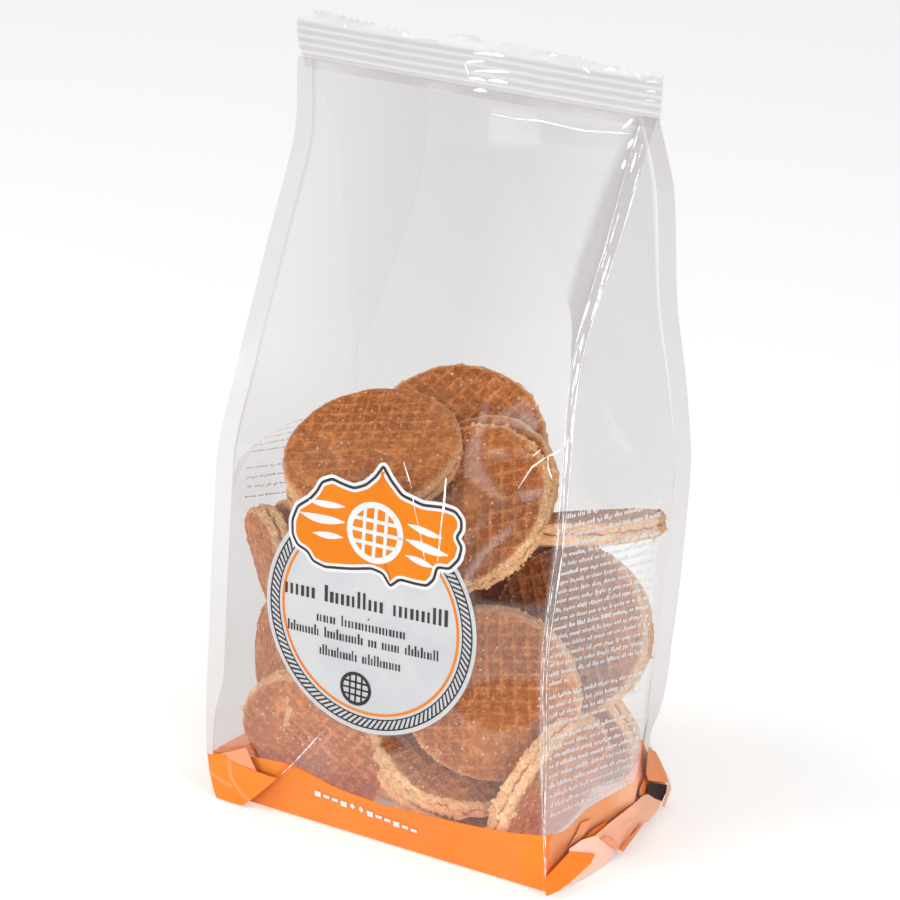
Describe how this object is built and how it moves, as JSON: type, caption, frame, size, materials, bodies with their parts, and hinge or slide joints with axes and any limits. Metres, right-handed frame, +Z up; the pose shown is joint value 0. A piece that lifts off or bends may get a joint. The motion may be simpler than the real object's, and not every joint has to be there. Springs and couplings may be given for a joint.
{
  "type": "bag of stroopwafels",
  "caption": "Clear side-gusset film bag that stands on its flat base, sealed across the top and filled with small round syrup waffles.",
  "frame": {"origin": "centre of the flat base that the bag stands on", "axes": "+Z up towards the ribbed seal, -Y out of the printed front, +X towards the bag's right side as seen from the front"},
  "size_m": [0.1426, 0.0819, 0.2339],
  "materials": {
    "film": "clear glossy film, with an orange printed band at the base"
  },
  "bodies": {
    "root": {"bag": "film"}
  },
  "joints": []
}
